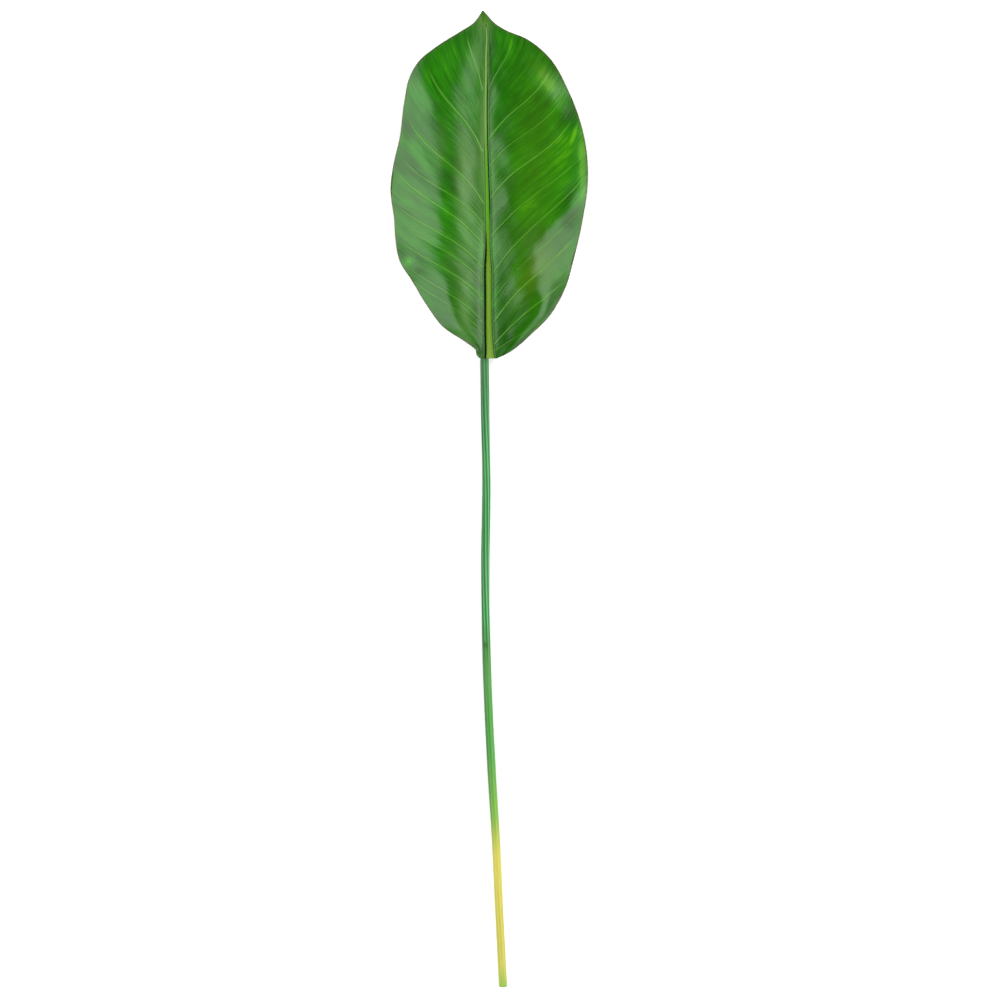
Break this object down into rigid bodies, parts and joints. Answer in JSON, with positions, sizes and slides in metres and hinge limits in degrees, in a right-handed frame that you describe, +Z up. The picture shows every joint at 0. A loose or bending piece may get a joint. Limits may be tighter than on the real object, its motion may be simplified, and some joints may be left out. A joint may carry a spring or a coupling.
{
  "type": "rubber plant leaf",
  "caption": "Broad oval leaf with a pale midrib, raised side veins and a wavy edge, on a long fluted stem cut straight at its end, lying face up.",
  "frame": {"origin": "under the middle of the whole leaf, on the surface that it lies on", "axes": "+Y from the cut end of the stem to the tip of the blade, +X to the right of the face, +Z up out of the face"},
  "size_m": [0.1702, 0.841, 0.0176],
  "materials": {
    "blade": "soft moulded leaf, satin, mid green with paler veins",
    "midrib": "soft moulded strip, satin, pale yellow-green",
    "stem": "moulded rod, satin, green fading to yellow at the cut end"
  },
  "bodies": {
    "root": {"blade": "blade", "midrib": "midrib", "stem": "stem"}
  },
  "joints": []
}
